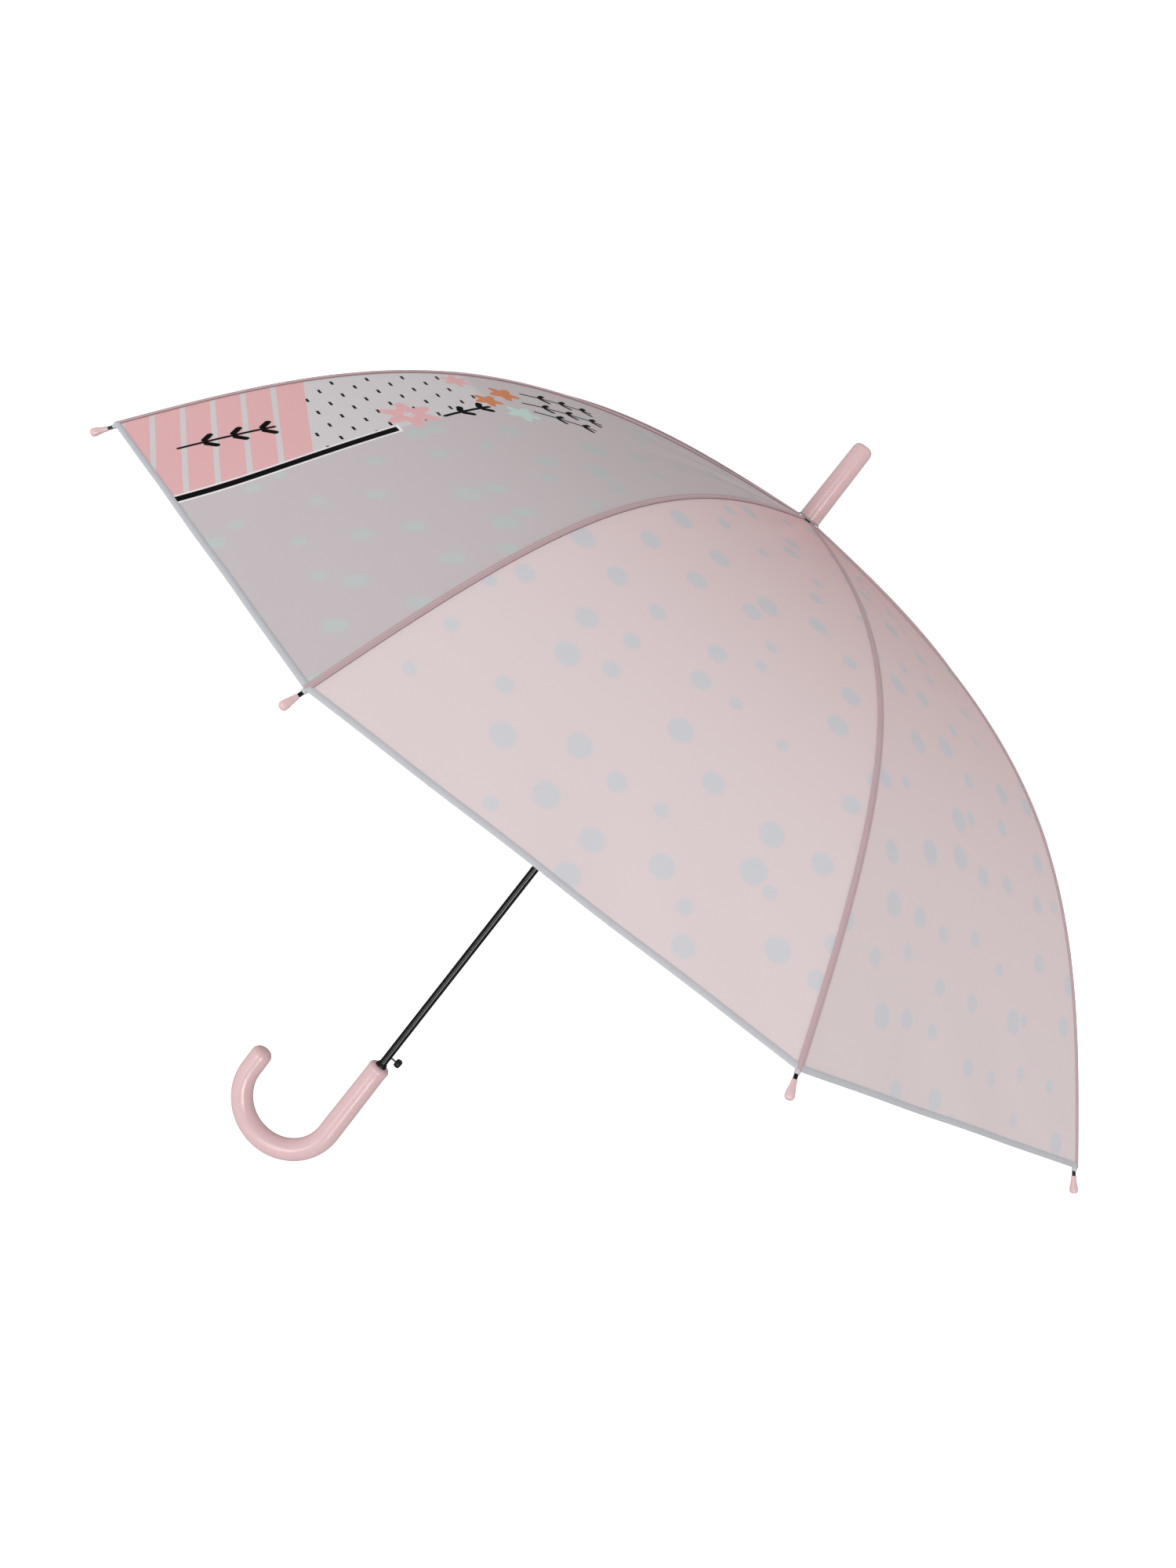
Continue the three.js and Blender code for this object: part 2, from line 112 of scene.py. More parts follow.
def on_rib(s, out=0.0):
    """Radius and height at share s of a rib, and out metres outside the film."""
    steps = len(RIB_LINE) - 1
    inside = min(max(s, 0.0), 1.0)
    angle = slope_at(inside)
    low = min(int(inside * steps), steps - 1)
    share = inside * steps - low
    r = RIB_LINE[low][0] * (1 - share) + RIB_LINE[low + 1][0] * share
    z = RIB_LINE[low][1] * (1 - share) + RIB_LINE[low + 1][1] * share
    past = max(s - 1, 0.0) * RIB_LENGTH
    r += past * math.cos(angle) + out * math.sin(angle)
    z += -past * math.sin(angle) + out * math.cos(angle)
    return r, z


def rib_angle(number):
    """Which way a rib points, seen from above."""
    return FIRST_RIB_ANGLE + (number - 1) * RIB_STEP


def around(angle, r, side, z):
    """A point at radius r along a rib's direction and side metres to its left, seen from above."""
    c, s = math.cos(angle), math.sin(angle)
    return Vector((r * c - side * s, r * s + side * c, z))


# ---- meshes -----------------------------------------------------------------------------------
def make(name, points, faces, material, smooth_angle=None):
    """A smooth object, with sharp edges where its faces meet at over smooth_angle degrees."""
    mesh = bpy.data.meshes.new(name)
    mesh.from_pydata([tuple(p) for p in points], [], faces)
    mesh.update()
    for m in material if isinstance(material, list) else [material]:
        mesh.materials.append(m)
    mesh.shade_smooth()
    if smooth_angle is not None:
        mesh.set_sharp_from_angle(angle=math.radians(smooth_angle))
    obj = bpy.data.objects.new(name, mesh)
    bpy.context.scene.collection.objects.link(obj)
    return obj


def grid_faces(rows, columns, closed=False):
    """Quads of a grid of points, rows x columns; closed joins the last column to the first."""
    faces = []
    for i in range(rows - 1):
        for j in range(columns if closed else columns - 1):
            k = (j + 1) % columns
            a, b = i * columns, (i + 1) * columns
            faces.append((a + j, a + k, b + k, b + j))
    return faces


def lathe(name, profile, material, sides=48):
    """A turned solid about Z from (radius, height) pairs, from the bottom outwards and up."""
    points = []
    for r, z in profile:
        for j in range(sides):
            a = 2 * math.pi * j / sides
            points.append((r * math.cos(a), r * math.sin(a), z))
    faces = grid_faces(len(profile), sides, closed=True)
    if profile[0] != profile[-1]:
        faces.append(tuple(reversed(range(sides))))
        faces.append(tuple(range((len(profile) - 1) * sides, len(profile) * sides)))
    return make(name, points, faces, material, smooth_angle=35)


def rounded(profile, steps=6):
    """The (radius, height, rounding) corners of a profile, each rounded with that radius."""
    out = []
    for i, (r, z, bend) in enumerate(profile):
        if not bend:
            out.append((r, z))
            continue
        here = Vector((r, z))
        back = (Vector(profile[i - 1][:2]) - here).normalized()
        ahead = (Vector(profile[(i + 1) % len(profile)][:2]) - here).normalized()
        start, end = here + back * bend, here + ahead * bend
        for k in range(steps + 1):
            t = k / steps
            p = start * (1 - t) ** 2 + here * 2 * t * (1 - t) + end * t * t
            out.append((p[0], p[1]))
    return out


def sweep(name, path, material, sides=24, across=Vector((0, 1, 0))):
    """A round bar along (point, radius) pairs whose path lies in the plane square to across."""
    points = []
    for i, (centre, radius) in enumerate(path):
        before = path[max(i - 1, 0)][0]
        after = path[min(i + 1, len(path) - 1)][0]
        along = (after - before).normalized()
        out = along.cross(across).normalized()
        for j in range(sides):
            a = 2 * math.pi * j / sides
            points.append(centre + (out * math.cos(a) + across * math.sin(a)) * radius)
    faces = [tuple(reversed(f)) for f in grid_faces(len(path), sides, closed=True)]
    faces.append(tuple(range(sides)))
    faces.append(tuple(reversed(range((len(path) - 1) * sides, len(path) * sides))))
    return make(name, points, faces, material, smooth_angle=40)


def place(obj, body, slot, *nodes):
    """The piece rides on its body and stands for the CAD nodes, which it hides; the slot is not used.
    """
    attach(obj, body)
    if nodes:
        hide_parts(*nodes)
    return obj


# ---- arithmetic in a node tree ----------------------------------------------------------------
class Value:
    """A number in a material's node tree, so that a pattern reads as arithmetic."""

    def __init__(self, tree, socket):
        self.tree = tree
        self.socket = socket

    def math(self, operation, *others, clamp=False):
        node = self.tree.nodes.new("ShaderNodeMath")
        node.operation = operation
        node.use_clamp = clamp
        for i, value in enumerate((self, *others)):
            if isinstance(value, Value):
                self.tree.links.new(value.socket, node.inputs[i])
            else:
                node.inputs[i].default_value = value
        return Value(self.tree, node.outputs[0])

    def __add__(self, other):
        return self.math("ADD", other)

    def __sub__(self, other):
        return self.math("SUBTRACT", other)

    def __mul__(self, other):
        return self.math("MULTIPLY", other)

    def clamped(self):
        return self.math("ADD", 0.0, clamp=True)

    def wrapped(self, period):
        """How far this is from the nearest multiple of period."""
        return self.math("PINGPONG", period / 2)


def distance(x, y):
    return (x * x + y * y).math("SQRT")


def ink(from_middle, half_width, soft=0.35):
    """1 inside half_width of a line's middle and 0 outside it, over a soft edge."""
    return (from_middle * (-1 / soft) + (half_width / soft + 0.5)).clamped()


def over(value, edge, soft=0.35):
    """1 where the value is over the edge and 0 where it is under it."""
    return ((value - edge) * (1 / soft) + 0.5).clamped()


def stroke(x, y, start, end):
    """Distance to the straight line from start to end."""
    dx, dy = end[0] - start[0], end[1] - start[1]
    px, py = x - start[0], y - start[1]
    along = ((px * dx + py * dy) * (1 / (dx * dx + dy * dy))).clamped()
    return distance(px - along * dx, py - along * dy)


PETAL_DEPTH = 0.22  # half the depth of the notches between petals, as a share of the radius


def flower(x, y, centre, radius, petals):
    """1 inside a flower with round petals."""
    px, py = x - centre[0], y - centre[1]
    angle = py.math("ARCTAN2", px)
    lobes = (angle * petals).math("COSINE") * (PETAL_DEPTH * radius) + (1 - PETAL_DEPTH) * radius
    return over(lobes - distance(px, py), 0.0)


def rgb(*screen):
    """The linear colour of one given as it looks on an sRGB screen, from 0 to 255."""
    linear = [c / 3294.6 if c <= 10.3 else ((c / 255 + 0.055) / 1.055) ** 2.4 for c in screen]
    return (*linear, 1.0)


def painted(tree, colour, mask, paint):
    """The colour with the paint over it where the mask is 1."""
    node = tree.nodes.new("ShaderNodeMix")
    node.data_type = "RGBA"
    tree.links.new(mask.socket, node.inputs["Factor"])
    for value, name in ((colour, "A"), (paint, "B")):
        target = [s for s in node.inputs if s.name == name and s.type == "RGBA"][0]
        if isinstance(value, tuple):
            target.default_value = value
        else:
            tree.links.new(value, target)
    return [s for s in node.outputs if s.type == "RGBA"][0]


# ---- materials --------------------------------------------------------------------------------
MOTTLE_SCALE = 60.0
GRAIN_HEIGHT = 0.1 * MM


def plain(name, colour, roughness, metallic=0.0, specular=0.5, grain=0.0, grain_scale=300.0,
          mottle=0.03):
    """A material whose colour varies a little from place to place, with a fine grain if asked."""
    material = bpy.data.materials.new(name)
    material.use_nodes = True
    tree = material.node_tree
    shader = tree.nodes["Principled BSDF"]
    shader.inputs["Base Color"].default_value = colour
    shader.inputs["Roughness"].default_value = roughness
    shader.inputs["Metallic"].default_value = metallic
    shader.inputs["Specular IOR Level"].default_value = specular
    place_in = tree.nodes.new("ShaderNodeTexCoord")
    if mottle:
        cloud = tree.nodes.new("ShaderNodeTexNoise")
        cloud.inputs["Scale"].default_value = MOTTLE_SCALE
        tree.links.new(place_in.outputs["Object"], cloud.inputs["Vector"])
        darker = tuple(c * (1 - 2 * mottle) for c in colour[:3]) + (1,)
        varied = painted(tree, colour, Value(tree, cloud.outputs["Fac"]), darker)
        tree.links.new(varied, shader.inputs["Base Color"])
    if grain:
        noise = tree.nodes.new("ShaderNodeTexNoise")
        noise.inputs["Scale"].default_value = grain_scale
        bump = tree.nodes.new("ShaderNodeBump")
        bump.inputs["Strength"].default_value = grain
        bump.inputs["Distance"].default_value = GRAIN_HEIGHT
        tree.links.new(place_in.outputs["Object"], noise.inputs["Vector"])
        tree.links.new(noise.outputs["Fac"], bump.inputs["Height"])
        tree.links.new(bump.outputs["Normal"], shader.inputs["Normal"])
    return material


PINK = rgb(214, 200, 201)
# painted shade: the pink film's colour where it darkens towards the crown
PINK_CROWN_SHADE = rgb(209, 168, 168)
LILAC = rgb(190, 182, 184)
# painted shade: the lilac film's colour where it darkens towards the crown
LILAC_CROWN_SHADE = rgb(195, 180, 182)
SKY_DOT = rgb(199, 199, 204)
MINT_DOT = rgb(184, 190, 189)
# painted shade: the dots' colour where they darken towards the crown
DOT_CROWN_SHADE = rgb(178, 172, 175)
INK = rgb(4, 3, 4)
PALE = rgb(200, 195, 196)
EDGE_WHITE = rgb(226, 222, 224)
ROSE = rgb(216, 168, 170)
ORANGE = rgb(204, 128, 88)
MINT = rgb(186, 206, 200)

PATTERN_PITCH = 1370  # mm between the patterns of two gores, longer than a gore
PATTERN_SHIFT = 0.71  # metres between them across
DOT_PITCH = 36 * MM
DOT_SCATTER = 0.72
DOT_LEAST_R = 3.8  # mm
DOT_MORE_R = 4.2  # mm
DOT_SOFT = 2.6  # mm


def film_material(name, base, shade_colour, dot):
    """Frosted film with round dots of uneven size, with painted shade that darkens the film and its
    dots towards the crown.
    Returns what a print needs to go over it: the place on the film in millimetres and the colour so
    far."""
    material = plain(name, base, roughness=0.55, specular=0.3, grain=0.12, grain_scale=1400, mottle=0)
    tree = material.node_tree
    shader = tree.nodes["Principled BSDF"]
    uv = tree.nodes.new("ShaderNodeUVMap")
    uv.uv_map = "film"
    parts = tree.nodes.new("ShaderNodeSeparateXYZ")
    tree.links.new(uv.outputs["UV"], parts.inputs["Vector"])
    x = Value(tree, parts.outputs["X"]) * 1000
    y = Value(tree, parts.outputs["Y"]) * 1000
    cells = tree.nodes.new("ShaderNodeTexVoronoi")
    cells.voronoi_dimensions = "2D"
    cells.inputs["Scale"].default_value = 1 / DOT_PITCH
    cells.inputs["Randomness"].default_value = DOT_SCATTER
    tree.links.new(uv.outputs["UV"], cells.inputs["Vector"])
    tint = tree.nodes.new("ShaderNodeSeparateColor")
    tree.links.new(cells.outputs["Color"], tint.inputs["Color"])
    radius = Value(tree, tint.outputs["Red"]) * DOT_MORE_R + DOT_LEAST_R
    middle = Value(tree, cells.outputs["Distance"]) * (1000 * DOT_PITCH)
    # painted shade: the film and its dots are mixed towards darker colours near the crown, for the
    # shade of the frame under it
    nearness = (y.math("MODULO", PATTERN_PITCH) * (-0.001 / RIB_LENGTH) + 1).math("MAXIMUM", 0.0)
    crown_shade_mask = nearness * nearness
    ground = painted(tree, base, crown_shade_mask, shade_colour)
    spot = painted(tree, dot, crown_shade_mask, DOT_CROWN_SHADE)
    colour = painted(tree, ground, over(radius - middle, 0.0, soft=DOT_SOFT), spot)
    return material, tree, shader, x, y, colour


def dotted_film(name, base, shade_colour, dot):
    material, tree, shader, _, _, colour = film_material(name, base, shade_colour, dot)
    tree.links.new(colour, shader.inputs["Base Color"])
    return material


# The print, in millimetres: x from the first rib, y along it from the crown.
BORDER_AT_HEM = 106
BORDER_CURVE = 0.00125
BORDER_HALF = 2.8
BORDER_WHITE = 1.6
BORDER_WHITE_PAST = 2
BORDER_END = 334
PALE_END = 262
PALE_SOFT = 6
DASH_ROW = 11.0
DASH_PITCH = 18.0
DASH_HALF_LENGTH = 2.4
DASH_HALF_WIDTH = 0.85
DASHES_FROM = 4.0
FIELD_EDGE = 361
FIELD_TILT = 0.31
STRIPE_PITCH = 19
STRIPE_HALF = 1.7
STRIPES_FROM = 8
# middle, radius, petals and colour
FLOWERS = [
    ((62, 320), 17, 6, ROSE),
    ((62, 320), 4, 5, PALE),
    ((55, 247), 11, 5, MINT),
    ((40, 262), 9, 5, ORANGE),
    ((26, 246), 10, 5, ORANGE),
    ((12, 270), 9, 6, ROSE),
]
# foot, top, pairs of leaves, their length and half the stem's width
SPRIGS = [
    ((50, 456), (52, 398), 3, 10, 1.2),
    ((66, 300), (50, 266), 2, 7, 1.2),
    ((36, 238), (40, 188), 3, 7, 0.85),
    ((20, 232), (22, 186), 3, 7, 0.85),
    ((48, 236), (56, 200), 2, 7, 0.85),
]


LEAF_GAP = 0.35  # share of a leaf's length that is bare at the stem
LEAF_TO_STEM = 1.7  # a leaf's width, in widths of the stem


def sprig(x, y, start, end, leaves, leaf_length, half):
    """Lines of a stem with pairs of leaves, as (distance, half width) pairs."""
    stem = Vector(end) - Vector(start)
    along = stem.normalized()
    side = Vector((-along[1], along[0]))
    lines = [(stroke(x, y, start, end), half)]
    for i in range(leaves):
        foot = Vector(start) + stem * ((i + 0.8) / (leaves + 0.3))
        for turn in (1, -1):
            tip = foot + (along + side * turn) * (leaf_length / math.sqrt(2))
            near = foot + (tip - foot) * LEAF_GAP
            lines.append((stroke(x, y, tuple(near), tuple(tip)), LEAF_TO_STEM * half))
    return lines


def printed_film(name):
    """The lilac film with a border, a striped field, dashes, flowers and leaf sprigs."""
    material, tree, shader, x, y, colour = film_material(name, LILAC, LILAC_CROWN_SHADE, MINT_DOT)
    from_hem = (y * -1 + 1000 * RIB_LENGTH).math("MAXIMUM", 0.0)
    border = x - (from_hem * from_hem * -BORDER_CURVE + BORDER_AT_HEM)
    level = y - x * FIELD_TILT
    within = over(border * -1, 0.0) * over(y, PALE_END, soft=PALE_SOFT)
    colour = painted(tree, colour, within, PALE)
    # dashes in staggered rows
    row = (y * (1 / DASH_ROW)).math("FLOOR")
    shift = row.math("MODULO", 2.0) * (DASH_PITCH / 2)
    across = (x + shift).wrapped(DASH_PITCH)
    dash_y = (y - (row * DASH_ROW + DASH_ROW / 2)).math("ABSOLUTE")
    dash = ink(across, DASH_HALF_LENGTH) * ink(dash_y, DASH_HALF_WIDTH)
    colour = painted(tree, colour, dash * within * over(x, DASHES_FROM), INK)
    # the striped field at the hem
    field = within * over(level, FIELD_EDGE)
    colour = painted(tree, colour, field, ROSE)
    stripe = ink((level - FIELD_EDGE).wrapped(STRIPE_PITCH), STRIPE_HALF)
    stripe = stripe * over(level, FIELD_EDGE + STRIPES_FROM) * field
    colour = painted(tree, colour, stripe, PALE)
    # the border line and its light edge
    side = border.math("ABSOLUTE")
    light = ink(side, BORDER_HALF + BORDER_WHITE) * over(y, BORDER_END - BORDER_WHITE_PAST)
    colour = painted(tree, colour, light, EDGE_WHITE)
    colour = painted(tree, colour, ink(side, BORDER_HALF) * over(y, BORDER_END), INK)
    # flowers and leaves
    for centre, radius, petals, paint in FLOWERS:
        colour = painted(tree, colour, flower(x, y, centre, radius, petals), paint)
    for one in SPRIGS:
        for line, half in sprig(x, y, *one):
            colour = painted(tree, colour, ink(line, half), INK)
    tree.links.new(colour, shader.inputs["Base Color"])
    return material


PINK_FILM = dotted_film("film_pink_dots", PINK, PINK_CROWN_SHADE, SKY_DOT)
PRINTED_FILM = printed_film("film_lilac_print")
HEM = plain("hem_grey", rgb(190, 191, 196), 0.45)
WELT = plain("seam_salmon", rgb(188, 162, 165), 0.5)
# painted shadow: the line along one side of the seam's welt
SEAM_SHADOW = plain("seam_mauve", rgb(138, 112, 117), 0.6)
GLOSS_PINK = plain("gloss_pink", rgb(221, 188, 189), 0.25, specular=0.9)
BLACK_PLASTIC = plain("black_plastic", rgb(18, 18, 20), 0.35, grain=0.1)
BLACK_PAINT = plain("black_paint", rgb(6, 6, 8), 0.22, specular=0.9)
ROD_BLACK = plain("fibreglass_black", rgb(18, 18, 20), 0.4, grain=0.15, grain_scale=900)
STEEL = plain("steel_wire", rgb(160, 162, 166), 0.3, metallic=1.0)
CHROME = plain("chrome", rgb(214, 216, 220), 0.1, metallic=1.0)
GREY = plain("grey_washer", rgb(186, 178, 178), 0.35, metallic=0.2)


# ---- canopy -----------------------------------------------------------------------------------
COLUMNS = 12
ROWS = 34
HEM_WIDTH = 3.8 * MM
CROWN_WAVE = 0.5  # mm that the film stands out in small waves near the crown
CROWN_WAVE_AT = 0.2
CROWN_WAVE_SPREAD = 0.14
HEM_FAN = 0.9  # mm, in pulls that spread from the hem's corners
HEM_FAN_AT = 0.97
HEM_FAN_SPREAD = 0.1
LONG_WAVE = 0.6  # mm, in one long wave down the gore


def film_point(number, u, s, out=0.0):
    """A point of the gore from rib number to the next one, u of the way across. The film is
    stretched straight from rib to rib, with a few shallow pulls towards the hem's corners."""
    r, z = on_rib(s)
    here, there = around(rib_angle(number), r, 0, z), around(rib_angle(number + 1), r, 0, z)
    middle = rib_angle(number) + RIB_STEP / 2
    slope = slope_at(s)
    normal = around(middle, math.sin(slope), 0, math.cos(slope)).normalized()
    return here.lerp(there, u) + normal * (out + pulls(number, u, s))


def near(s, at, spread):
    """1 at the share of the rib called at, and falling away over spread to each side of it."""
    return math.exp(-(((s - at) / spread) ** 2))


def wave(turns):
    return math.sin(2 * math.pi * turns)


def pulls(number, u, s):
    """How far the film stands out of the straight line between its ribs, in metres. Each wave has
    its turns across the gore, its turns down the rib, and its shift from one gore to the next."""
    from_ribs = 16 * (u * (1 - u)) ** 2
    crown = near(s, CROWN_WAVE_AT, CROWN_WAVE_SPREAD) * wave(3.3 * u + 2.1 * s + 0.37 * number)
    hem = near(s, HEM_FAN_AT, HEM_FAN_SPREAD) * wave(4.2 * u * (1.6 - s) + 0.61 * number)
    long = math.sin(math.pi * u) * wave(1.2 * s + 0.23 * number)
    return MM * from_ribs * (CROWN_WAVE * crown + HEM_FAN * hem + LONG_WAVE * long)


def film_normal(number, u, s):
    """The outward direction of the film at a point of a gore."""
    step = 0.004
    across = film_point(number, u + step, s) - film_point(number, u - step, s)
    down = film_point(number, u, s + step) - film_point(number, u, s - step)
    return across.cross(down).normalized() * -1


class Half:
    """One half of a gore: it is held by one rib, and ends at the middle of the gore."""

    def __init__(self, number, side):
        self.number = number
        self.side = side
        self.gore = number if side > 0 else (number - 2) % RIBS + 1
        self.name = "right" if side > 0 else "left"
        angle = rib_angle(number)
        slope = slope_at(FLEX_AT)
        self.flex = around(angle, on_rib(FLEX_AT)[0], 0, on_rib(FLEX_AT)[1])
        self.down = around(angle, math.cos(slope), 0, -math.sin(slope))
        self.normal = around(angle, math.sin(slope), 0, math.cos(slope))
        self.tangent = around(angle, 0, 1, 0)

    def u(self, share):
        """Place across the gore, for a share of the way from the rib to the gore's middle."""
        return share / 2 if self.side > 0 else 1 - share / 2

    def point(self, share, s, out=0.0):
        return film_point(self.gore, self.u(share), s, out)

    def cut(self, share):
        """Where the plane across the rib at its flex point meets the film, by halving a range."""
        low, high = FLEX_AT - 0.05, FLEX_AT + 0.2
        for _ in range(30):
            middle = (low + high) / 2
            if (self.point(share, middle) - self.flex).dot(self.down) < 0:
                low = middle
            else:
                high = middle
        return (low + high) / 2

    def uv(self, share, s):
        """Place on the flat pattern: across from the print's rib or the gore's middle, and down."""
        chord = 2 * on_rib(s)[0] * math.sin(RIB_STEP / 2)
        u = self.u(share)
        if self.gore == 1:
            return u * chord, s * RIB_LENGTH
        if self.gore == RIBS:
            return (1 - u) * chord, s * RIB_LENGTH
        across = (u - 0.5) * chord + PATTERN_SHIFT * self.gore
        return across, s * RIB_LENGTH + PATTERN_PITCH * MM * self.gore

    def squash(self, obj, turn, keep_length):
        """Works out how, when the umbrella closes, the half gore would shorten to keep_length of
        itself across the rib and turn by turn degrees, outwards if positive; it applies neither and
        only gives the piece its own mesh."""
        sink = math.atan(math.tan(RIB_STEP / 2) * math.sin(slope_at(FLEX_AT)))
        out = math.radians(turn)
        ahead = keep_length * math.cos(out)
        swing = math.atan2(keep_length * math.sin(abs(out)), 1 - ahead)
        keep = (ahead - keep_length**2) / (1 - ahead)
        angle = -sink - math.copysign(swing, out)
        axis = self.tangent * (self.side * math.cos(angle)) + self.normal * math.sin(angle)
        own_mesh(obj)


# the half gore on a rib's right, seen from outside, is meant to turn outwards, and the one on its
# left inwards; squash does not apply it
RIGHT_FOLD = {"turn": 13.0, "keep_length": 0.36}
LEFT_FOLD = {"turn": -38.0, "keep_length": 0.12}


def film_of(gore):
    return PRINTED_FILM if gore in (1, RIBS) else PINK_FILM


def add_uvs(obj, uvs):
    """Gives each point of a film its place on the flat pattern."""
    layer = obj.data.uv_layers.new(name="film")
    for loop in obj.data.loops:
        layer.data[loop.index].uv = uvs[loop.vertex_index]


def film_piece(half, part, start, end):
    """The upper or lower part of the film on a half gore, between two lines across it: start and
    end say how far down they are at a share of the way from the rib to the gore's middle."""
    points, normals, uvs = [], [], []
    for i in range(ROWS + 1):
        for j in range(COLUMNS + 1):
            share = j / COLUMNS
            s = start(share) + (end(share) - start(share)) * i / ROWS
            points.append(half.point(share, s))
            normals.append(film_normal(half.gore, half.u(share), s))
            uvs.append(half.uv(share, s))
    faces = grid_faces(ROWS + 1, COLUMNS + 1)
    if half.side > 0:
        faces = [tuple(reversed(f)) for f in faces]
    rib = {"upper": f"rib_{half.number}", "lower": f"rib_end_{half.number}"}[part]
    obj = make(f"film_{half.number}_{half.name}_{part}", points, faces, film_of(half.gore))
    add_uvs(obj, uvs)
    obj.data.normals_split_custom_set_from_vertices([tuple(n) for n in normals])
    slot = "film_lilac" if half.gore in (1, RIBS) else "film_pink"
    place(obj, f"{rib}_body", slot, f"canopy_{part}_{half.number}")
    half.squash(obj, **(RIGHT_FOLD if half.side > 0 else LEFT_FOLD))
    chord = on_rib(max(end(0), end(1)))[0] * math.sin(RIB_STEP / 2)
    length = (max(end(0), end(1)) - min(start(0), start(1))) * RIB_LENGTH


# where each patch starts and ends on the rib, and how much of its width it is to keep when folded,
# which is not applied here
CROWN_RINGS = [("inner", FILM_HOLE_R / RIB_LENGTH, 0.05, 1.0), ("outer", 0.045, 0.27, 0.42)]
PATCH_UNDER_FILM = 0.35 * MM


def crown_patches(number):
    """Film doubled under the crown, a gore wide on each rib, so it stays closed when folded."""
    left, right = Half(number, -1), Half(number, 1)
    for name, start, end, keep in CROWN_RINGS:
        points, uvs = [], []
        for i in range(ROWS // 2 + 1):
            s = start + (end - start) * i * 2 / ROWS
            for j in range(-COLUMNS // 2, COLUMNS // 2 + 1):
                half = right if j > 0 else left
                points.append(half.point(abs(j) * 2 / COLUMNS, s, -PATCH_UNDER_FILM))
                uvs.append(half.uv(abs(j) * 2 / COLUMNS, s))
        faces = [tuple(reversed(f)) for f in grid_faces(ROWS // 2 + 1, COLUMNS + 1)]
        obj = make(f"crown_patch_{name}_{number}", points, faces, film_of(number))
        add_uvs(obj, uvs)
        place(obj, f"rib_{number}_body", "film_lilac" if number == 1 else "film_pink")
        if keep < 1:
            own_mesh(obj)
        chord = 2 * on_rib(end)[0] * math.sin(RIB_STEP / 2)


# share of the hem strip's width up from the edge, and mm outside the film
HEM_SECTION = [
    (1.0, 0.15),
    (0.85, 0.6),
    (0.15, 0.7),
    (0.0, 0.35),
    (0.0, -0.4),
    (0.15, -0.6),
    (0.9, -0.5),
    (1.0, -0.15),
]


def hem_strip(half):
    """The folded edge of the film along the hem, from the rib to the gore's middle."""
    count = len(HEM_SECTION)
    points = []
    for j in range(COLUMNS + 1):
        for up, out in HEM_SECTION:
            points.append(half.point(j / COLUMNS, 1 - up * HEM_WIDTH / RIB_LENGTH, out * MM))
    faces = grid_faces(COLUMNS + 1, count, closed=True)
    faces.append(tuple(reversed(range(count))))
    faces.append(tuple(range(COLUMNS * count, (COLUMNS + 1) * count)))
    if half.side < 0:
        faces = [tuple(reversed(f)) for f in faces]
    obj = make(f"hem_{half.number}_{half.name}", points, faces, HEM, 50)
    place(obj, f"rib_end_{half.number}_body", "film_pink")
    half.squash(obj, **(RIGHT_FOLD if half.side > 0 else LEFT_FOLD))


# mm to the side of the rib, mm outside the film, and whether the painted shadow line is there
SEAM_SECTION = [
    (-1.9, 0.0, True),
    (-1.8, 0.45, True),
    (-0.6, 0.5, False),
    (-0.4, 0.9, False),
    (0.6, 1.15, False),
    (1.7, 0.85, False),
    (2.2, 0.1, False),
    (2.2, -0.9, False),
    (-1.9, -0.9, True),
]
SEAM_STEPS = 48
SEAM_START = 0.018
SEAM_END = 0.999


def seam(number, part, start, end, body):
    """The welded seam over a rib: a raised salmon welt and a line of painted shadow along one side of
    it.
    """
    count = len(SEAM_SECTION)
    points = []
    for i in range(SEAM_STEPS + 1):
        s = start + (end - start) * i / SEAM_STEPS
        for side, out, _ in SEAM_SECTION:
            sink = abs(side) * MM * math.tan(RIB_STEP / 2) * math.sin(slope_at(s))
            r, z = on_rib(s, out * MM)
            r -= sink * math.sin(slope_at(s))
            points.append(around(rib_angle(number), r, -side * MM, z))
    faces = grid_faces(SEAM_STEPS + 1, count, closed=True)
    faces.append(tuple(reversed(range(count))))
    faces.append(tuple(range(SEAM_STEPS * count, (SEAM_STEPS + 1) * count)))
    obj = make(f"seam_{number}_{part}", points, faces, [WELT, SEAM_SHADOW], 50)
    # the faces along one side of the welt take the second material, a painted shadow
    for face in obj.data.polygons:
        if face.index < SEAM_STEPS * count:
            in_shadow = [SEAM_SECTION[v % count][2] for v in face.vertices[:2]]
            face.material_index = int(all(in_shadow))
    place(obj, body, "film_pink")


def canopy():
    hole = FILM_HOLE_R / RIB_LENGTH
    for number in range(1, RIBS + 1):
        for side in (1, -1):
            half = Half(number, side)
            film_piece(half, "upper", lambda share: hole, half.cut)
            film_piece(half, "lower", half.cut, lambda share: 1.0)
            hem_strip(half)
        crown_patches(number)
        seam(number, "upper", SEAM_START, FLEX_AT, f"rib_{number}_body")
        seam(number, "lower", FLEX_AT, SEAM_END, f"rib_end_{number}_body")


# ---- handle, ferrule and shaft ----------------------------------------------------------------
# mm above the mouth and mm of radius
MOUTH_LIP = [
    (-0.2, 4.6),
    (0.0, 5.2),
    (-0.2, 6.3),
    (-0.8, 7.3),
    (-1.8, 8.1),
    (-3.2, 8.5),
    (-4.6, 8.2),
]
LIP_HEIGHT = -MOUTH_LIP[-1][0] * MM
GRIP_R = 8.1 * MM
BEND_R = 8.7 * MM
END_R = 8.2 * MM
END_ROUND = 5.6 * MM
END_LEAST_R = 0.5 * MM
END_CAP = 0.3 * MM
GRIP_STEPS = 16
HOOK_STEPS = 56
RISE_STEPS = 5
END_STEPS = 8


